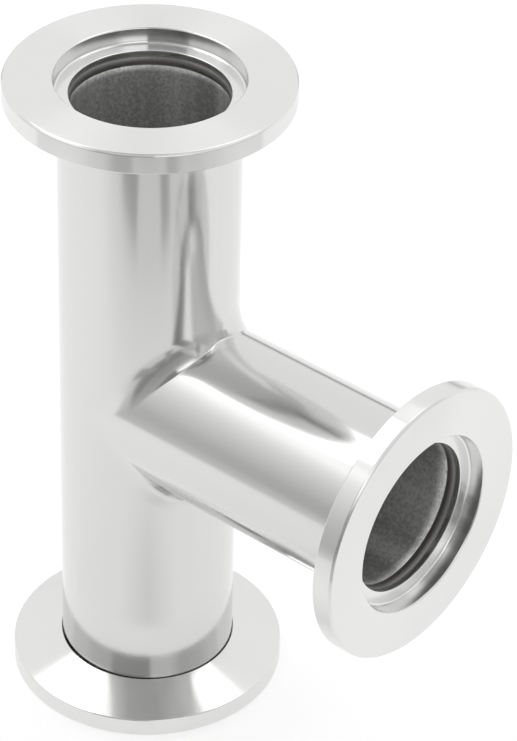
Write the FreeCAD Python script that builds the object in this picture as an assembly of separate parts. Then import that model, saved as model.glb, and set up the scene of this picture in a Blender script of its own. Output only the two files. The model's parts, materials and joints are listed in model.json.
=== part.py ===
import FreeCAD, Part
import math
import os

from FreeCAD import Vector

# Vacuum flange tee: a formed stainless tube with three turned ring flanges welded to its ends.
# The origin is the centre of the lower flange's face. +Z runs up the straight run, and +X out along
# the branch. All sizes are in millimetres.

# Driving dimensions of the formed tube
lower_leg = 50.0          # lower face to the branch's axis
upper_leg = 50.0          # branch's axis to the upper face
branch_leg = 50.0         # run's axis to the branch's face
tube_outer_radius = 12.7
tube_wall = 1.65
collar_sweep = 9.2        # outside radius of the sweep from the run into the pulled collar
crotch_stand = 0.2        # how far the collar's edge stands beyond the tubes' crossing, at the crotch
side_stand = 2.9          # how much further it stands at the side

# Driving dimensions of each ring flange
flange_radius = 20.0
rim_thickness = 3.0       # height of the plain rim before the cone
cone_angle = 15.0         # degrees, between the back cone and the face
recess_radius = 13.1      # seat of the centring ring
recess_depth = 2.4
recess_root_radius = 0.4
recess_mouth_break = 0.15
face_edge_break = 0.3     # bevel round the outside of the face
rim_back_break = 0.15     # bevel where the rim meets the cone
lip_edge_break = 0.1      # bevel of the bore's edge on the recess floor

# Driving dimensions of the joint between tube and flange
socket_depth = 0.95       # how deep the tube's end sits in the back of the flange
socket_clearance = 0.05   # between the tube and the socket's wall
socket_mouth_break = 0.15
weld_half_width = 0.7
weld_height = 0.25        # how far the weld stands into the bore

# How the sweep is drawn
sweep_sections = 25
sweep_end = 80.0          # degrees round the branch, past which the two tubes are nearly flush
sweep_sink = 0.015        # the sweep dips this far into the tubes, so that it crosses their surfaces
sweep_end_sink = 0.12     # added towards its ends, so that it runs out under them
sweep_end_length = 18.0   # degrees over which it runs out
stand_softness = 0.1      # rounds the dip of the collar's edge at the crotch

# Sizes that follow
bore_radius = tube_outer_radius - tube_wall
socket_radius = tube_outer_radius + socket_clearance
cone_slope = math.tan(math.radians(cone_angle))
flange_back = rim_thickness + (flange_radius - socket_radius) * cone_slope
tube_seat = flange_back - socket_depth

x_axis = Vector(1, 0, 0)
z_axis = Vector(0, 0, 1)


def turned(edges):
    """Turn a closed outline of edges in the XZ plane into a solid of revolution about the Z axis."""
    face = Part.Face(Part.Wire(edges))
    return face.revolve(Vector(0, 0, 0), z_axis, 360)


def straight_edges(points):
    """Join each (radius, height) point to the next with a straight edge."""
    corners = [Vector(radius, 0, height) for radius, height in points]
    return [Part.makeLine(start, end) for start, end in zip(corners, corners[1:])]


def arc_edge(start, middle, end):
    """A round edge through three (radius, height) points."""
    places = [Vector(radius, 0, height) for radius, height in (start, middle, end)]
    return Part.Arc(*places).toShape()


# The formed tube

def crossing_legs(radius, overrun):
    """Two solid rods of one radius: the run between its seats, and the branch out to its seat."""
    run_length = lower_leg + upper_leg - 2 * tube_seat
    run_start = Vector(0, 0, tube_seat - overrun)
    run = Part.makeCylinder(radius, run_length + 2 * overrun, run_start, z_axis)
    branch_start = Vector(0, 0, lower_leg)
    branch = Part.makeCylinder(radius, branch_leg - tube_seat + overrun, branch_start, x_axis)
    return run.fuse(branch).removeSplitter()


def sweep_centre(angle, sink):
    """The centre of the sweep's arc at one angle round the branch from its top. The arc touches the run
    and comes down on the collar's edge, or touches the branch too where it would meet it before that."""
    side = math.sin(angle)
    stand = crotch_stand + side_stand * (math.hypot(side, stand_softness) - stand_softness)
    edge = tube_outer_radius * math.cos(angle) + stand
    surface = tube_outer_radius - sink
    reach = surface + collar_sweep
    if edge >= reach * math.cos(angle):
        return Vector(reach * math.cos(angle), reach * side, lower_leg + reach * math.cos(angle))
    steep, flat = 0.0, math.pi / 2
    for _ in range(50):
        lean = (steep + flat) / 2
        out = surface + collar_sweep * math.sin(lean)
        along = edge + collar_sweep * math.cos(lean)
        if math.hypot(along, out * side) > reach:
            steep = lean
        else:
            flat = lean
    return Vector(along, out * side, lower_leg + out * math.cos(angle))


def sweep_section(angle, inset):
    """A closed outline: the sweep's arc, and two straight edges that meet deep under both tubes."""
    run_out = max(0.0, abs(math.degrees(angle)) - sweep_end + sweep_end_length) / sweep_end_length
    centre = sweep_centre(angle, sweep_sink + sweep_end_sink * run_out ** 2)
    radius = collar_sweep + inset
    to_run = Vector(-centre.x, -centre.y, 0).normalize()
    to_branch = Vector(0, -centre.y, lower_leg - centre.z).normalize()
    halfway = (to_run + to_branch).normalize()
    start, middle, end = (centre + way * radius for way in (to_run, halfway, to_branch))
    deep = centre + (to_run + to_branch) * (radius + tube_wall / 2)
    return Part.Wire([Part.Arc(start, middle, end).toShape(), Part.makeLine(end, deep),
                      Part.makeLine(deep, start)])


def swept_crossing(inset, overrun):
    """Both legs, with the sweep filled in above the branch and, turned over, below it."""
    legs = crossing_legs(tube_outer_radius - inset, overrun)
    last = math.radians(sweep_end)
    angles = [last * (2 * step / (sweep_sections - 1) - 1) for step in range(sweep_sections)]
    above = Part.makeLoft([sweep_section(angle, inset) for angle in angles], True, False)
    below = above.copy()
    below.rotate(Vector(0, 0, lower_leg), x_axis, 180)
    return legs.fuse([above, below])


def make_tee_body():
    """The collar keeps the tube's wall, so the sweep inside is larger by one wall about the same centre."""
    past_the_end = tube_wall
    return swept_crossing(0, 0).cut(swept_crossing(tube_wall, past_the_end))


# The ring flange, with its face at height 0 and its back towards +Z

def make_flange():
    """The turned section: face, centring recess, lip, socket for the tube, clamping cone and rim."""
    root = recess_root_radius
    root_middle = root * (1 - math.sqrt(0.5))
    back_drop = rim_back_break * cone_slope
    mouth_drop = socket_mouth_break * cone_slope

    inner = straight_edges([
        (flange_radius - face_edge_break, 0),
        (recess_radius + recess_mouth_break, 0),
        (recess_radius, recess_mouth_break),
        (recess_radius, recess_depth - root),
    ])
    recess_root = arc_edge(
        (recess_radius, recess_depth - root),
        (recess_radius - root_middle, recess_depth - root_middle),
        (recess_radius - root, recess_depth),
    )
    outer = straight_edges([
        (recess_radius - root, recess_depth),
        (bore_radius + lip_edge_break, recess_depth),
        (bore_radius, recess_depth + lip_edge_break),
        (bore_radius, tube_seat),
        (socket_radius, tube_seat),
        (socket_radius, flange_back - socket_mouth_break),
        (socket_radius + socket_mouth_break, flange_back - mouth_drop),
        (flange_radius - rim_back_break, rim_thickness + back_drop),
        (flange_radius, rim_thickness - rim_back_break),
        (flange_radius, face_edge_break),
        (flange_radius - face_edge_break, 0),
    ])
    return turned(inner + [recess_root] + outer)


# The weld inside the port, a low ring over the seam between the flange's lip and the tube's end

def make_weld():
    """The section is a shallow arc on the bore's wall, centred on the seam."""
    low = (bore_radius, tube_seat - weld_half_width)
    crest = (bore_radius - weld_height, tube_seat)
    high = (bore_radius, tube_seat + weld_half_width)
    return turned([arc_edge(low, crest, high)] + straight_edges([high, low]))


# The three ports. Each piece is made at the lower port and turned to its own.

def at_lower_port(shape):
    return shape.copy()


def at_upper_port(shape):
    placed = shape.copy()
    placed.rotate(Vector(0, 0, 0), x_axis, 180)
    placed.translate(Vector(0, 0, lower_leg + upper_leg))
    return placed


def at_branch_port(shape):
    placed = shape.copy()
    placed.rotate(Vector(0, 0, 0), Vector(0, 1, 0), -90)
    placed.translate(Vector(branch_leg, 0, lower_leg))
    return placed


ports = {"lower": at_lower_port, "upper": at_upper_port, "branch": at_branch_port}

flange = make_flange()
weld = make_weld()
parts = {"tee_body": make_tee_body()}
for port, place in ports.items():
    parts[port + "_flange"] = place(flange)
    parts[port + "_weld"] = place(weld)

os.makedirs("parts", exist_ok=True)
for node, shape in parts.items():
    shape.exportStep("parts/" + node + ".step")
    box = shape.BoundBox
    print(node, "solids", len(shape.Solids), "valid", shape.isValid(), "volume", round(shape.Volume, 1),
          "x", round(box.XMin, 2), round(box.XMax, 2), "z", round(box.ZMin, 2), round(box.ZMax, 2))
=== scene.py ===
# %% [markdown]
# # Vacuum flange tee
# A tee for pipework that holds a vacuum. One stainless tube has a branch pulled out of its side, and a
# turned ring flange is welded to each of its three open ends. This lesson dresses the tee's fixed frame:
# each piece is modelled again with clean, even faces, because polished metal shows every uneven one.

# %% Load the frame
import json
import math

import bmesh
import bpy
from mathutils import Matrix, Vector


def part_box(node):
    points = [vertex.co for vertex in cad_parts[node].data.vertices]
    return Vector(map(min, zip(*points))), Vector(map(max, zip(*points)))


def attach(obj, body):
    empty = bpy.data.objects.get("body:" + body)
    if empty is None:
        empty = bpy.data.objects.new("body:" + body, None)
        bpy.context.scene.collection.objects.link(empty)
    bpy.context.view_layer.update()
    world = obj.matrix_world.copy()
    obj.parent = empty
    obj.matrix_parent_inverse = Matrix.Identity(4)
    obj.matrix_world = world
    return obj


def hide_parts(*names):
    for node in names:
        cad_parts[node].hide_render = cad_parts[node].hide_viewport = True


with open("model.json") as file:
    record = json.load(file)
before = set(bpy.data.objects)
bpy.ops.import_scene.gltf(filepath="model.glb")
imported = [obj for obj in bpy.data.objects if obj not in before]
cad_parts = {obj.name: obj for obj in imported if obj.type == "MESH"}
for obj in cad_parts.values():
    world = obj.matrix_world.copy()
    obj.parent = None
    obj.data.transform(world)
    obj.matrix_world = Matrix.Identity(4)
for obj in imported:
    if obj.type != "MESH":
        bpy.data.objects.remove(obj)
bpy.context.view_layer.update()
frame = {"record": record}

# %% [markdown]
# ## Sizes
# Most sizes are read from the frame, so the pieces made here stay where the tube and flanges are. They
# could all be written down again, but then the two models would drift apart. Only the sizes that a box
# can't tell are given here, those of the collar and of the turned section.

# %% Sizes
mm = 0.001
tube_low, tube_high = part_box("tee_body")
seam_low, seam_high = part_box("lower_weld")
branch_low, branch_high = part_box("branch_flange")
flange_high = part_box("lower_flange")[1]

tube_radius = tube_high.y
bore_radius = seam_high.y
flange_radius = flange_high.y
flange_back = flange_high.z
tube_seat = tube_low.z
run_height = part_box("upper_flange")[1].z
branch_reach = branch_high.x
branch_height = (branch_low.z + branch_high.z) / 2
recess_radius = mm * next(mount["dims"]["r_mm"] for mount in frame["record"]["mounts"]
                          if mount["name"] == "lower_recess")

collar_sweep = 9.2 * mm
crotch_stand = 0.2 * mm
side_stand = 2.9 * mm
stand_softness = 0.1
recess_depth = 2.4 * mm
rim_thickness = 3.0 * mm
cone_slope = math.tan(math.radians(15))
socket_radius = tube_radius + 0.05 * mm
face_bevel = 0.3 * mm
mouth_bevel = 0.15 * mm
weld_height = 0.25 * mm
print("tube", round(tube_radius / mm, 2), "bore", round(bore_radius / mm, 2),
      "flange", round(flange_radius / mm, 2), "seat", round(tube_seat / mm, 3))

# %% [markdown]
# ## One helper for every material
# A material is a small graph of nodes. This function adds a node, sets its sockets or its properties,
# and links its inputs, so that each finish below reads as a list of steps.

# %% Material helpers
def linear(hex_colour):
    """An sRGB hex colour as the linear colour that a shader expects."""
    channels = [int(hex_colour[i:i + 2], 16) / 255 for i in (1, 3, 5)]
    return [c / 12.92 if c <= 0.04045 else ((c + 0.055) / 1.055) ** 2.4 for c in channels] + [1.0]


def add(tree, kind, settings=None, links=None):
    """Add one node, set its inputs or properties, and link the outputs of others into it."""
    item = tree.nodes.new(kind)
    for name, value in (settings or {}).items():
        if isinstance(name, int) or name in item.inputs:
            item.inputs[name].default_value = value
        else:
            setattr(item, name, value)
    for name, output in (links or {}).items():
        tree.links.new(output, item.inputs[name])
    return item


def new_material(name):
    """A material with nothing in its tree yet."""
    material = bpy.data.materials.new(name)
    material.use_nodes = True
    material.node_tree.nodes.clear()
    return material, material.node_tree


print("#808080 is", round(linear("#808080")[0], 3), "of white to a shader")

# %% [markdown]
# ## The finish of the turned flanges
# Stainless steel, faced and bored on a lathe with a fine feed. Each turn leaves a groove, so the surface is
# bright, and it smears what it mirrors across the grooves but not along them. Fine rings of bump alone
# would need far more samples than a picture has to show that. So the shader is anisotropic, with its
# tangent along the grooves, and a light bump adds the rings that the eye can tell apart. They follow both
# the distance from the axis and the height, so they show on the face, the cone and the walls alike. A
# real feed is about 0.1 mm a turn, too fine for a picture of the whole tee, so the rings are drawn about
# three times as coarse and very shallow.

# %% Turned steel
ring_width = 0.3 * mm
ring_depth = 0.02 * mm
worn_patch = 6 * mm


def turned_steel(name, centre, turn, groove, roughness):
    """The finish of one flange, with rings round its own axis. Groove is how strongly they show."""
    material, tree = new_material(name)
    place = add(tree, "ShaderNodeTexCoord").outputs["Object"]
    local = add(tree, "ShaderNodeMapping",
                {"vector_type": "TEXTURE", "Location": centre, "Rotation": turn},
                {"Vector": place}).outputs["Vector"]
    parts = add(tree, "ShaderNodeSeparateXYZ", links={"Vector": local}).outputs
    flat = add(tree, "ShaderNodeCombineXYZ", links={"X": parts["X"], "Y": parts["Y"]}).outputs["Vector"]
    radius = add(tree, "ShaderNodeVectorMath", {"operation": "LENGTH"}, {0: flat}).outputs["Value"]
    feed = add(tree, "ShaderNodeMath", {"operation": "ADD"}, {0: radius, 1: parts["Z"]}).outputs[0]
    rings = add(tree, "ShaderNodeTexNoise",
                {"noise_dimensions": "1D", "Scale": 1 / ring_width, "Detail": 3.0, "Roughness": 0.7},
                {"W": feed}).outputs["Fac"]
    wear = add(tree, "ShaderNodeTexNoise", {"Scale": 1 / worn_patch, "Detail": 4.0},
               {"Vector": place}).outputs["Fac"]
    bump = add(tree, "ShaderNodeBump", {"Strength": groove, "Distance": ring_depth}, {"Height": rings})
    rough = add(tree, "ShaderNodeMapRange", {"To Min": roughness - 0.04, "To Max": roughness + 0.04},
                {"Value": wear}).outputs[0]
    axis = turn.to_matrix() @ Vector((0, 0, 1))
    spoke = add(tree, "ShaderNodeVectorMath", {"operation": "SUBTRACT", 1: centre},
                {0: place}).outputs[0]
    along = add(tree, "ShaderNodeVectorMath", {"operation": "CROSS_PRODUCT", 0: axis},
                {1: spoke}).outputs[0]
    shader = add(tree, "ShaderNodeBsdfPrincipled",
                 {"Base Color": linear("#E3E3E2"), "Metallic": 1.0, "Anisotropic": 1.0,
                  "Anisotropic Rotation": 0.25},
                 {"Roughness": rough, "Normal": bump.outputs["Normal"], "Tangent": along})
    add(tree, "ShaderNodeOutputMaterial", links={"Surface": shader.outputs["BSDF"]})
    return material


print("rings about", round(ring_width / mm, 2), "mm wide, on steel worn in patches of",
      round(worn_patch / mm, 2), "mm")

# %% [markdown]
# ## The finish of the tube's outside
# Drawn tube is polished to a soft satin: reflections of things near the surface stay sharp, and those of
# things further off blur. One value of roughness would give that too, but it looks like plastic film. Real
# polishing varies, so the roughness drifts in clouds about 9 mm across, over a grain of 0.35 mm.

# %% Satin outside
def satin_tube():
    """The polished outside of the drawn tube."""
    material, tree = new_material("satin_stainless_tube")
    place = add(tree, "ShaderNodeTexCoord").outputs["Object"]
    grain = add(tree, "ShaderNodeTexNoise", {"Scale": 1 / (0.35 * mm), "Detail": 3.0},
                {"Vector": place}).outputs["Fac"]
    cloud = add(tree, "ShaderNodeTexNoise", {"Scale": 1 / (9 * mm), "Detail": 3.0},
                {"Vector": place}).outputs["Fac"]
    bump = add(tree, "ShaderNodeBump", {"Strength": 0.08, "Distance": 0.02 * mm}, {"Height": grain})
    rough = add(tree, "ShaderNodeMapRange", {"To Min": 0.11, "To Max": 0.18}, {"Value": cloud}).outputs[0]
    shader = add(tree, "ShaderNodeBsdfPrincipled", {"Base Color": linear("#D8D8D7"), "Metallic": 1.0},
                 {"Roughness": rough, "Normal": bump.outputs["Normal"]})
    add(tree, "ShaderNodeOutputMaterial", links={"Surface": shader.outputs["BSDF"]})
    return material


# %% [markdown]
# ## The finish of the tube's inside
# Inside, the tube is left as drawn and pickled in acid, which is dull and speckled, with long faint streaks
# from the drawing, about 5 mm wide. The streaks in the colour are stronger than the drawing leaves them, so
# they are also painted highlights, which stand for the reflections that run along each bore. Stretching a
# noise along one axis draws such streaks. The run and the branch lie along different axes, so there are
# two of them, and the distance from the run chooses.

# %% Pickled bore
def pickled_bore():
    """The dull inside of both legs, whose streaks are partly painted highlights."""
    material, tree = new_material("pickled_stainless_bore")
    place = add(tree, "ShaderNodeTexCoord").outputs["Object"]
    speckle = add(tree, "ShaderNodeTexNoise", {"Scale": 1 / (0.45 * mm), "Detail": 4.0, "Roughness": 0.7},
                  {"Vector": place}).outputs["Fac"]
    # The streaks come partly from the drawing and are partly painted highlights along each bore.
    streaks_and_sheen = []
    for stretch in ((1, 1, 0.03), (0.03, 1, 1)):
        stretched = add(tree, "ShaderNodeMapping", {"Scale": stretch}, {"Vector": place}).outputs["Vector"]
        streaks_and_sheen.append(add(tree, "ShaderNodeTexNoise", {"Scale": 1 / (5 * mm), "Detail": 2.0},
                           {"Vector": stretched}).outputs["Fac"])
    out = add(tree, "ShaderNodeSeparateXYZ", links={"Vector": place}).outputs["X"]
    in_branch = add(tree, "ShaderNodeMapRange", {"From Min": 11 * mm, "From Max": 14 * mm},
                    {"Value": out}).outputs[0]
    streak_and_sheen = add(tree, "ShaderNodeMix", links={0: in_branch, 2: streaks_and_sheen[0], 3: streaks_and_sheen[1]}).outputs[0]
    both = add(tree, "ShaderNodeMath", {"operation": "ADD"}, {0: streak_and_sheen, 1: speckle}).outputs[0]
    shade = add(tree, "ShaderNodeMapRange", {"From Min": 0.85, "From Max": 1.2},
                {"Value": both}).outputs[0]
    colour = add(tree, "ShaderNodeMix",
                 {"data_type": "RGBA", 6: linear("#BEBEBC"), 7: linear("#F6F6F4")},
                 {"Factor": shade}).outputs[2]
    bump = add(tree, "ShaderNodeBump", {"Strength": 0.8, "Distance": 0.04 * mm}, {"Height": speckle})
    shader = add(tree, "ShaderNodeBsdfPrincipled", {"Metallic": 1.0, "Roughness": 0.5},
                 {"Base Color": colour, "Normal": bump.outputs["Normal"]})
    add(tree, "ShaderNodeOutputMaterial", links={"Surface": shader.outputs["BSDF"]})
    return material


# %% [markdown]
# ## The finish of the welds
# The weld is given a darker, duller skin than the tube. Its shape comes from the mesh further on, so the
# finish needs only that skin, with patches of 0.8 mm that differ in roughness.

# %% Fused weld
def fused_weld():
    """The skin of the weld metal."""
    material, tree = new_material("fused_stainless_weld")
    place = add(tree, "ShaderNodeTexCoord").outputs["Object"]
    skin = add(tree, "ShaderNodeTexNoise", {"Scale": 1 / (0.8 * mm), "Detail": 3.0},
               {"Vector": place}).outputs["Fac"]
    rough = add(tree, "ShaderNodeMapRange", {"To Min": 0.42, "To Max": 0.62}, {"Value": skin}).outputs[0]
    shader = add(tree, "ShaderNodeBsdfPrincipled", {"Base Color": linear("#8F8E8B"), "Metallic": 1.0},
                 {"Roughness": rough})
    add(tree, "ShaderNodeOutputMaterial", links={"Surface": shader.outputs["BSDF"]})
    return material


satin, pickled, welded = satin_tube(), pickled_bore(), fused_weld()
print("finishes:", satin.name, pickled.name, welded.name)


# %% [markdown]
# ## From a bmesh to a piece
# Every piece ends the same way: doubles merged, faces pointing outwards, smooth shading, materials in
# their slots, the piece hung on the frame's body, and the plain solid it stands for hidden. Each piece
# could do this for itself, but one function for all of them leaves no step out.

# %% Finish a piece
merge_distance = 0.0005 * mm


def finish_piece(bm, name, node, materials):
    """Make a bmesh an object that replaces one node of the frame. The bmesh is freed."""
    bmesh.ops.remove_doubles(bm, verts=bm.verts, dist=merge_distance)
    bmesh.ops.recalc_face_normals(bm, faces=bm.faces)
    for face in bm.faces:
        face.smooth = True
    mesh = bpy.data.meshes.new(name)
    bm.to_mesh(mesh)
    bm.free()
    for material in materials:
        mesh.materials.append(material)
    piece = bpy.data.objects.new(name, mesh)
    bpy.context.scene.collection.objects.link(piece)
    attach(piece, "root")
    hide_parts(node)
    print(name, len(mesh.polygons), "faces")
    return piece


# %% [markdown]
# ## The formed tube
# The branch starts as a collar, pulled out of the run through a hole. The wall sweeps round from the run
# into the collar. The branch's own tube is welded to the collar's edge, and the weld is dressed down to a
# crease. Two cylinders joined by a boolean would leave long thin faces there, which polished metal shows as
# dents, and a bevel can't end in a crease. So the wall is a grid. A ball that rolls along the run and rests
# on the collar's edge leaves just this sweep, and each column of the grid is laid along one path: down the
# run, round the ball, then out along the branch. The wall inside is the same grid with a smaller tube and
# a larger ball.

# %% The sweep into the collar
columns_round = 128
run_rows, sweep_rows, branch_rows = 24, 24, 24
halvings = 40             # enough to find a root to the last digit that matters
flush = 1e-4              # radians of arc, under which the run and the branch meet without a sweep


def sweep_centre(turn):
    """The ball's centre, from where the axes cross: out along the branch, aside, and up. Turn is the
    angle round the branch from its top. The ball touches the run and rests on the collar's edge, or
    touches the branch too, where it would do so before it reached the edge."""
    side, front = math.sin(turn), math.cos(turn)
    stand = crotch_stand + side_stand * (math.hypot(side, stand_softness) - stand_softness)
    edge = tube_radius * front + stand
    reach = tube_radius + collar_sweep
    if edge >= reach * front:
        return Vector((reach * front, reach * side, reach * front))
    steep, flat = 0.0, math.pi / 2
    for _ in range(halvings):
        lean = (steep + flat) / 2
        out = tube_radius + collar_sweep * math.sin(lean)
        along = edge + collar_sweep * math.cos(lean)
        if math.hypot(along, out * side) > reach:
            steep = lean
        else:
            flat = lean
    return Vector((along, out * side, out * front))


def sweep_points(turn, radius):
    """The arc round the ball, from where it touches the run to where it meets the branch."""
    centre = sweep_centre(turn)
    ball = collar_sweep + tube_radius - radius
    to_run = Vector((-centre.x, -centre.y, 0)).normalized()
    to_branch = Vector((0, -centre.y, -centre.z)).normalized()
    spread = to_run.angle(to_branch, 0.0)
    if spread < flush:
        return [centre + to_run * ball] * (sweep_rows + 1)

    def place(share):
        from_run = math.sin((1 - share) * spread) / math.sin(spread)
        from_branch = math.sin(share * spread) / math.sin(spread)
        return centre + (to_run * from_run + to_branch * from_branch) * ball

    above, under = 0.0, 1.0
    for _ in range(halvings):
        middle = (above + under) / 2
        if place(middle).yz.length > radius:
            above = middle
        else:
            under = middle
    return [place(under * row / sweep_rows) for row in range(sweep_rows + 1)]


print("the ball's centre stands", round(sweep_centre(0.0).x / mm, 2), "mm out above the branch")

# %% One column of the wall
branch_crowding = 1.5     # the branch's rows stand closer together near the crease


def column_points(turn, radius, run_end, way):
    """All the points of one column. Way is 1 above the branch and -1 below it."""
    arc = sweep_points(turn, radius)
    on_run = math.atan2(arc[0].y, arc[0].x)
    on_branch = math.atan2(arc[-1].y, arc[-1].z)
    points = []
    for row in range(run_rows):
        share = row / run_rows
        angle = turn + (on_run - turn) * share
        points.append((radius * math.cos(angle), radius * math.sin(angle),
                       run_end + (way * arc[0].z - run_end) * share))
    points += [(point.x, point.y, way * point.z) for point in arc]
    for row in range(1, branch_rows + 1):
        share = (row / branch_rows) ** branch_crowding
        angle = on_branch + (turn - on_branch) * share
        points.append((arc[-1].x + (tube_high.x - arc[-1].x) * share,
                       radius * math.sin(angle), way * radius * math.cos(angle)))
    return [Vector((x, y, branch_height + z)) for x, y, z in points]


top_column = column_points(0.0, tube_radius, tube_high.z - branch_height, 1)
print("a column has", len(top_column), "points")

# %% One wall of the tee
def add_grid(bm, columns):
    """Add a grid to the bmesh, with one line of points to each column."""
    rows = len(columns[0]) - 1
    grid = bmesh.ops.create_grid(bm, x_segments=columns_round, y_segments=rows, size=1.0)
    for vert in grid["verts"]:
        column, row = round((vert.co.x + 1) / 2 * columns_round), round((vert.co.y + 1) / 2 * rows)
        vert.co = columns[column][row]


def add_wall(bm, radius, material_index):
    """Add the outer or the inner wall to the bmesh, open at its three ends."""
    first_face = len(bm.faces)
    turns = [math.pi * (column / columns_round - 0.5) for column in range(columns_round + 1)]
    for way, end in ((1, tube_high.z - branch_height), (-1, tube_low.z - branch_height)):
        add_grid(bm, [column_points(turn, radius, end, way) for turn in turns])
        add_grid(bm, [[Vector((-radius * math.cos(turn), radius * math.sin(turn),
                               branch_height + end * (1 - row / run_rows)))
                       for row in range(run_rows + 1)] for turn in turns])
    bm.faces.ensure_lookup_table()
    for face in bm.faces[first_face:]:
        face.material_index = material_index
    bmesh.ops.remove_doubles(bm, verts=bm.verts, dist=merge_distance)


# %% Join the two walls
end_slack = 0.01 * mm     # an open edge this near to an end's plane belongs to that end


def close_end(bm, port, end):
    """Extrude the open edge of the outer wall inwards at one end, as far as the edge of the bore."""
    rim = [edge for edge in bm.edges if edge.is_boundary
           and all(abs((vert.co - end).dot(port)) < end_slack for vert in edge.verts)]
    step = bmesh.ops.extrude_edge_only(bm, edges=rim)["geom"]
    ring = [item for item in step if isinstance(item, bmesh.types.BMVert)]
    narrower = bore_radius / tube_radius
    bmesh.ops.scale(bm, vec=(narrower, narrower, narrower), space=Matrix.Translation(-end), verts=ring)


def make_tee_body():
    """The outer wall with its ends closed inwards, then the inner wall, which doubles join to it."""
    bm = bmesh.new()
    add_wall(bm, tube_radius, 0)
    close_end(bm, Vector((0, 0, 1)), Vector((0, 0, tube_high.z)))
    close_end(bm, Vector((0, 0, 1)), Vector((0, 0, tube_low.z)))
    close_end(bm, Vector((1, 0, 0)), Vector((tube_high.x, 0, branch_height)))
    add_wall(bm, bore_radius, 1)
    finish_piece(bm, "formed_tube", "tee_body", [satin, pickled])


make_tee_body()

# %% [markdown]
# ## The ring flanges
# A flange is turned from bar, so it is one section spun round its axis, as on the lathe. Cylinders and
# booleans would give the same rough shape, but not the small radius or bevel that the tool or a deburring
# pass leaves on each corner. Those corners catch the light and make the piece look like metal, so they are
# made first, on the section. The walls between them stay flat, so the shading is weighted by the area of
# the faces.

# %% The section of a flange
flange_steps = 256

# Each corner is its radius, its height, and how much of it is rounded away.
flange_corners = [
    (flange_radius - face_bevel, 0, 0.06 * mm),
    (recess_radius + mouth_bevel, 0, 0.05 * mm),
    (recess_radius, mouth_bevel, 0.05 * mm),
    (recess_radius, recess_depth, 0.4 * mm),
    (bore_radius, recess_depth, 0.1 * mm),
    (bore_radius, tube_seat, 0),
    (socket_radius, tube_seat, 0),
    (socket_radius, flange_back - mouth_bevel, 0.03 * mm),
    (socket_radius + mouth_bevel, flange_back - mouth_bevel * cone_slope, 0.03 * mm),
    (flange_radius, rim_thickness, 0.15 * mm),
    (flange_radius, face_bevel, 0.06 * mm),
]


def spun_flange():
    """The flange as a bmesh, with its face at height 0 and its back towards +Z."""
    bm = bmesh.new()
    ring = [bm.verts.new((radius, 0, height)) for radius, height, _ in flange_corners]
    for start, end in zip(ring, ring[1:] + ring[:1]):
        bm.edges.new((start, end))
    for corner, (_, _, rounding) in zip(ring, flange_corners):
        if rounding:
            bmesh.ops.bevel(bm, geom=[corner], offset=rounding, offset_type="OFFSET", segments=4,
                            profile=0.5, affect="VERTICES", material=-1)
    bmesh.ops.spin(bm, geom=bm.verts[:] + bm.edges[:], cent=(0, 0, 0), axis=(0, 0, 1),
                   angle=2 * math.pi, steps=flange_steps, use_merge=True)
    return bm


print("the flange's section has", len(flange_corners), "corners")

# %% [markdown]
# ## The three ports
# The same flange and weld go on at each port. A port is the place and the turn that carry a piece made at
# the lower port to its own. They are put into the mesh, and not on the object, so that the patterns on
# object coordinates stay where they are. Inside the recess the steel was bored, which leaves a deeper
# groove than facing, so those faces have a finish of their own.

# %% Ports
ports = {
    "lower": Matrix.Identity(4),
    "upper": Matrix.Translation((0, 0, run_height)) @ Matrix.Rotation(math.pi, 4, "X"),
    "branch": Matrix.Translation((branch_reach, 0, branch_height)) @ Matrix.Rotation(-math.pi / 2, 4, "Y"),
}

flange_shape = spun_flange()
for port, matrix in ports.items():
    bm = flange_shape.copy()
    for face in bm.faces:
        middle = face.calc_center_median()
        face.material_index = int(middle.xy.length < recess_radius + mouth_bevel / 3)
    bmesh.ops.transform(bm, matrix=matrix, verts=bm.verts)
    place, turn = matrix.to_translation(), matrix.to_euler()
    faced = turned_steel(port + "_faced_stainless", place, turn, groove=0.06, roughness=0.18)
    bored = turned_steel(port + "_bored_stainless", place, turn, groove=0.2, roughness=0.15)
    piece = finish_piece(bm, port + "_ring_flange", port + "_flange", [faced, bored])
    weighted = piece.modifiers.new("even shading", "WEIGHTED_NORMAL")
    weighted.weight = 100

# %% [markdown]
# ## The welds
# Each flange is fused to the tube from inside, where the vacuum is, so that no crevice is left to trap
# gas. The weld runs on as small overlapping pools, which set as crescent ripples. Bump could shade them,
# but the weld's outline would stay smooth. So a low crowned strip is spun round the bore, and its skin is
# then pushed in and out by one ripple after another.

# %% A rippled weld
weld_steps = 480
weld_cuts = 11
ripple_length = 0.9 * mm
ripple_height = 0.035 * mm
ripple_lag = 0.55         # how far a crescent trails at the weld's two sides, in ripples
ripple_lean = 0.6         # under 1, a ripple rises faster than it falls
edge_share = 0.999        # the strip's two edges stay on the bore


def spun_weld():
    """The weld as a bmesh, at the lower port."""
    bm = bmesh.new()
    half = (seam_high.z - seam_low.z) / 2
    middle = (seam_high.z + seam_low.z) / 2
    low, high = (bm.verts.new((bore_radius, 0, height)) for height in (middle - half, middle + half))
    bmesh.ops.subdivide_edges(bm, edges=[bm.edges.new((low, high))], cuts=weld_cuts)
    strip = sorted(bm.verts, key=lambda vert: vert.co.z)
    bm.edges.new((strip[0], strip[-1]))
    bmesh.ops.spin(bm, geom=bm.verts[:] + bm.edges[:], cent=(0, 0, 0), axis=(0, 0, 1),
                   angle=2 * math.pi, steps=weld_steps, use_merge=True)
    ripples = round(2 * math.pi * bore_radius / ripple_length)
    for vert in bm.verts:
        across = (vert.co.z - middle) / half
        if abs(across) > edge_share:
            continue
        crown = 1 - across * across
        along = math.atan2(vert.co.y, vert.co.x) / (2 * math.pi) * ripples
        step = (along + ripple_lag * across * across) % 1.0
        ripple = ripple_height * crown * math.sin(math.pi * step ** ripple_lean)
        height = (weld_height - ripple_height) * crown + ripple
        scale = (bore_radius - height) / bore_radius
        vert.co.x *= scale
        vert.co.y *= scale
    return bm


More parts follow.
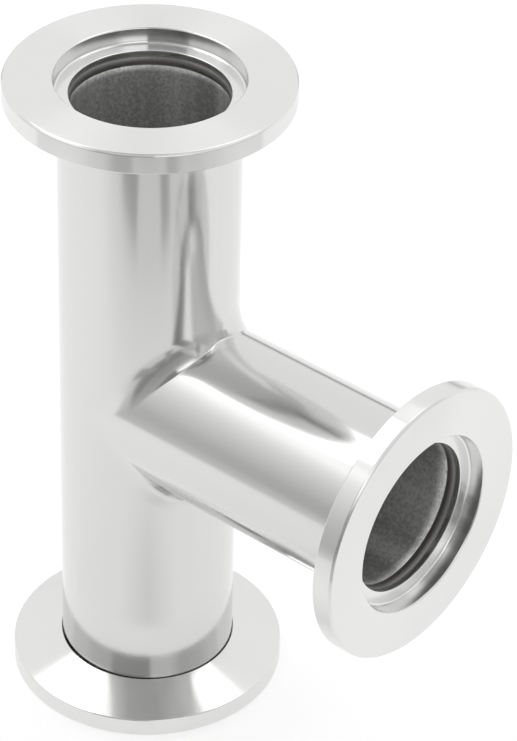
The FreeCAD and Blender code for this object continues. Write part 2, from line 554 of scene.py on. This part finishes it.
weld_shape = spun_weld()
for port, matrix in ports.items():
    bm = weld_shape.copy()
    bmesh.ops.transform(bm, matrix=matrix, verts=bm.verts)
    finish_piece(bm, port + "_seam_weld", port + "_weld", [welded])

# %% [markdown]
# ## The camera
# Its place was worked out from the picture's ellipses: the tee stands upright, and the camera looks down
# on it from the front and the branch's side, from close enough that the lower flange looks smaller than
# the upper one. Aiming it at the tee with a constraint would be easier, but the picture isn't centred
# on any one point of it. So the three directions of the camera's own axes are given.

# %% Camera
camera_data = bpy.data.cameras.new("camera")
camera = bpy.data.objects.new("camera", camera_data)
bpy.context.scene.collection.objects.link(camera)
camera_back = Vector((0.51815, -0.62750, 0.58117))
camera_right = Vector((0.76027, 0.64920, 0.02312))
camera_up = Vector((-0.39180, 0.42986, 0.81345))
camera_place = Vector((0.257865, -0.287763, 0.327828))
turn = Matrix((camera_right, camera_up, camera_back)).transposed()
camera.matrix_world = Matrix.Translation(camera_place) @ turn.to_4x4()
camera_data.sensor_fit = "VERTICAL"
camera_data.sensor_height = 36
camera_data.lens = 162.0
camera_data.clip_start = 0.01
bpy.context.scene.camera = camera
print("the camera stands", round(camera_place.length, 3), "m from the tee's foot")

# %% [markdown]
# ## Floor and room
# A small bright part is photographed on white, in a tent of soft light. More light on everything would
# make the floor white too, but it would burn out the metal. So the floor and the room look brighter to the
# camera and in reflections than they are as lamps, and the floor still shows the tee's shadow.

# %% Floor
floor_radius = 1.5
floor_glow = 0.54


def seen_directly(tree):
    """1 for rays that see a surface straight or in metal or glass, 0 for those that carry its light."""
    rays = add(tree, "ShaderNodeLightPath").outputs
    seen = add(tree, "ShaderNodeMath", {"operation": "MAXIMUM"},
               {0: rays["Is Camera Ray"], 1: rays["Is Glossy Ray"]}).outputs[0]
    return add(tree, "ShaderNodeMath", {"operation": "MAXIMUM"},
               {0: seen, 1: rays["Is Transmission Ray"]}).outputs[0]


def pale_floor():
    """Matt white paper, whose smoothness drifts a little over 75 mm."""
    material, tree = new_material("pale_floor")
    place = add(tree, "ShaderNodeTexCoord").outputs["Object"]
    drift = add(tree, "ShaderNodeTexNoise", {"Scale": 1 / (75 * mm)}, {"Vector": place}).outputs["Fac"]
    rough = add(tree, "ShaderNodeMapRange", {"To Min": 0.75, "To Max": 0.85}, {"Value": drift}).outputs[0]
    plain = add(tree, "ShaderNodeBsdfPrincipled", {"Base Color": linear("#D6D6D6")}, {"Roughness": rough})
    glow = add(tree, "ShaderNodeMath", {"operation": "MULTIPLY", 1: floor_glow}, {0: seen_directly(tree)})
    lift = add(tree, "ShaderNodeEmission", {"Color": linear("#FFFFFF")}, {"Strength": glow.outputs[0]})
    both = add(tree, "ShaderNodeAddShader", links={0: plain.outputs[0], 1: lift.outputs[0]})
    add(tree, "ShaderNodeOutputMaterial", links={"Surface": both.outputs[0]})
    return material


def stage_piece(name, bm, material):
    """Make a bmesh an object that isn't part of the tee. The bmesh is freed."""
    mesh = bpy.data.meshes.new(name)
    bm.to_mesh(mesh)
    bm.free()
    mesh.materials.append(material)
    thing = bpy.data.objects.new(name, mesh)
    bpy.context.scene.collection.objects.link(thing)
    return thing


bm = bmesh.new()
bmesh.ops.create_circle(bm, cap_ends=True, segments=96, radius=floor_radius)
stage_piece("floor", bm, pale_floor())
print("a floor", 2 * floor_radius, "m across")

# %% Room
room_as_lamp = 0.6
world = bpy.data.worlds.new("white_room")
bpy.context.scene.world = world
world.use_nodes = True
tree = world.node_tree
tree.nodes.clear()
strength = add(tree, "ShaderNodeMapRange", {"To Min": room_as_lamp, "To Max": 1.0},
               {"Value": seen_directly(tree)}).outputs[0]
background = add(tree, "ShaderNodeBackground", {"Color": linear("#FFFFFF")}, {"Strength": strength})
add(tree, "ShaderNodeOutputWorld", links={"Surface": background.outputs[0]})
print("a white room, which lights the tee with", room_as_lamp, "of the white that is seen")

# %% [markdown]
# ## Cards
# Polished metal is only as good as what it reflects: in a room that is white all over it would look like
# paper. The tent's front is open, so the metal also shows the darker room beyond, the grey roof, and the
# dark shape of the camera. An image of a studio could stand for them, but cards say plainly what is where.
# The cards stand round the tee, as they do when metal is photographed, and only reflections see them. Each
# is a grid whose points carry their own tone, so that one material serves them all and a card can fade
# from dark to light. Directions are angles from the tee: across counts from the camera's side, less than 0
# to its left, and height is above the floor. A tone of 1 is white.

# %% Card helpers
card_columns, card_rows = 48, 96
toward_camera = Vector((camera_place.x, camera_place.y, 0)).normalized()
to_the_right = Vector((-toward_camera.y, toward_camera.x, 0))


def dome_point(across, height, distance):
    """The point that far off in a direction, given in degrees."""
    across, height = math.radians(across), math.radians(height)
    level = toward_camera * math.cos(across) + to_the_right * math.sin(across)
    return (level * math.cos(height) + Vector((0, 0, math.sin(height)))) * distance


def fade(value, *stops):
    """The tone at value, on a line through (value, tone) stops. It is level beyond the first and last."""
    for (x0, y0), (x1, y1) in zip(stops, stops[1:]):
        if value <= x1:
            return y0 + (y1 - y0) * max(0.0, (value - x0) / (x1 - x0))
    return stops[-1][1]


def card_paint():
    """A glow as strong as the tone that each point carries."""
    material, tree = new_material("lit_card")
    tone = add(tree, "ShaderNodeAttribute", {"attribute_name": "tone"}).outputs["Fac"]
    glow = add(tree, "ShaderNodeEmission", {"Color": linear("#FFFFFF")}, {"Strength": tone})
    add(tree, "ShaderNodeOutputMaterial", links={"Surface": glow.outputs[0]})
    return material


card_material = card_paint()


def card(name, first, second, place, tone):
    """A card over a range of two measures. Place and tone turn the two into a point and a brightness."""
    bm = bmesh.new()
    layer = bm.verts.layers.float.new("tone")
    grid = bmesh.ops.create_grid(bm, x_segments=card_columns, y_segments=card_rows, size=1.0)
    for vert in grid["verts"]:
        one = first[0] + (first[1] - first[0]) * (vert.co.x + 1) / 2
        two = second[0] + (second[1] - second[0]) * (vert.co.y + 1) / 2
        vert[layer] = tone(one, two)
        vert.co = place(one, two)
    tones = [vert[layer] for vert in bm.verts]
    print(name, "tone", round(min(tones), 2), "to", round(max(tones), 2))
    thing = stage_piece(name, bm, card_material)
    thing.visible_camera = False
    thing.visible_diffuse = False
    thing.visible_shadow = False


# %% Cards in the room
def front_tone(across, height):
    """The open front is darkest low down and behind the camera, and fades into the tent above."""
    low = fade(abs(across), (10, 0.38), (45, 0.47), (72, 0.56), (82, 0.72), (110, 0.85))
    return fade(height, (8, low), (26, 0.6 + 0.3 * low), (36, 0.93), (46, 1.0))


def roof_tone(across, height):
    """The roof gets darker towards its middle. The lower flange's cone shows it as a broad grey band."""
    return fade(height, (55, 0.88), (61, 0.74), (70, 0.38))


def left_tone(across, height):
    """A bright panel high on the left, which gives the branch its broad soft highlight."""
    return fade(height, (36, 0.93), (44, 1.12), (50, 1.4), (56, 1.4))


def right_tone(across, height):
    """A bright panel high on the right, which fades towards its edges, 19 degrees from its middle."""
    from_middle = max(abs(across - 107), abs(height - 57)) / 19
    return fade(from_middle, (0.5, 1.3), (1.0, 0.95))


def fill_tone(across, height):
    """A bright panel beside the camera. The recess's wall shows it next to the camera's dark shape."""
    return min(fade(across, (28, 1.5), (40, 0.9)), fade(height, (16, 0.6), (22, 1.5), (44, 1.5), (52, 1.0)))


# The back card is a low dark edge behind the tee, and the camera card is the camera's dark shape. Each
# line gives a card's name, its range across, its range in height, its distance and its tone.
dome_cards = [
    ("front_card", (-110, 100), (-1, 46), 0.96, front_tone),
    ("roof_card", (-85, 100), (55, 89), 1.0, roof_tone),
    ("left_card", (-118, -62), (36, 56), 0.94, left_tone),
    ("right_card", (88, 126), (38, 76), 0.88, right_tone),
    ("back_card", (140, 215), (-1, 5), 0.9, lambda across, height: 0.3),
    ("camera_card", (-46, 3), (16, 50), 0.9, lambda across, height: 0.26),
    ("fill_card", (4, 40), (16, 52), 0.9, fill_tone),
]
for name, across_range, height_range, distance, tone in dome_cards:
    card(name, across_range, height_range,
         lambda across, height: dome_point(across, height, distance), tone)

# %% [markdown]
# ## Floor in front
# The camera looks down on the tee, so the upright run reflects the floor in front of it, with its pale
# foot, a greyer middle and dark stripes. All that could be painted on the floor itself, but the camera
# would see it there, and the photo's floor is plain. So these cards lie on it, and only reflections see
# them. The two foot cards are long dark strips further out, like the feet of a stand.

# %% Cards on the floor
floor_card_height = 0.5 * mm
foot_card_height = 1 * mm


def floor_point(right, front, height):
    """A point so far to the right of the tee and so far in front of it, as the camera sees them."""
    return to_the_right * right + toward_camera * front + Vector((0, 0, height))


def floor_polar(across, away):
    """A point of the floor card, in a direction across and that far away."""
    across = math.radians(across)
    return floor_point(away * math.sin(across), away * math.cos(across), floor_card_height)


def floor_tone(across, away):
    """White paper with the tee's own shade at its foot. A greyer sheet starts at a straight edge in
    front, and past it comes the dark of the room."""
    aside = abs(math.sin(math.radians(across)))
    front = away * math.cos(math.radians(across))
    shade = 0.18 * fade(aside, (0.0, 1.0), (0.55, 0.0)) * fade(away, (0.045, 1.0), (0.08, 0.0))
    middle = fade(front, (0.03, 1.0), (0.065, 1.02), (0.10, 0.92), (0.119, 0.88), (0.126, 0.78),
                  (0.185, 0.76), (0.21, 0.36), (0.30, 0.30)) - shade
    side = fade(away, (0.03, 1.02), (0.09, 1.07), (0.18, 1.07), (0.20, 0.60))
    return middle + (side - middle) * fade(aside, (0.7, 0.0), (1.0, 1.0))


card("floor_card", (-90, 90), (0.03, 0.95), floor_polar, floor_tone)
for name, right_range in (("left_foot_card", (-0.088, -0.036)), ("right_foot_card", (0.034, 0.060))):
    card(name, right_range, (0.129, 0.4),
         lambda right, front: floor_point(right, front, foot_card_height), lambda right, front: 0.42)

# %% [markdown]
# ## Lamps
# The tent is lit from above and behind, which lays a faint shadow in front of the tee. One sun would be
# simpler, but it throws hard shadows and tiny highlights. So there are two rectangular lamps, one of them
# half a metre long, near enough that their light is soft.

# %% Soft lamps
lamp_distance = 0.8
tee_middle = Vector((0.01, 0, 0.05))


def soft_lamp(name, across, height, size, power):
    """A rectangular area lamp that points at the tee's middle."""
    data = bpy.data.lights.new(name, "AREA")
    data.shape = "RECTANGLE"
    data.size, data.size_y = size
    data.energy = power
    lamp = bpy.data.objects.new(name, data)
    bpy.context.scene.collection.objects.link(lamp)
    lamp.location = dome_point(across, height, lamp_distance)
    aim = tee_middle - lamp.location
    lamp.rotation_euler = aim.to_track_quat("-Z", "Y").to_euler()
    print(name, power, "W")


soft_lamp("back_left_lamp", -128, 61, (0.50, 0.28), 0.72)
soft_lamp("back_right_lamp", 145, 66, (0.26, 0.26), 0.36)

# %% [markdown]
# ## Finish
# The colours are shown with the standard view transform.

# %% Finish
bpy.context.scene.view_settings.view_transform = "Standard"
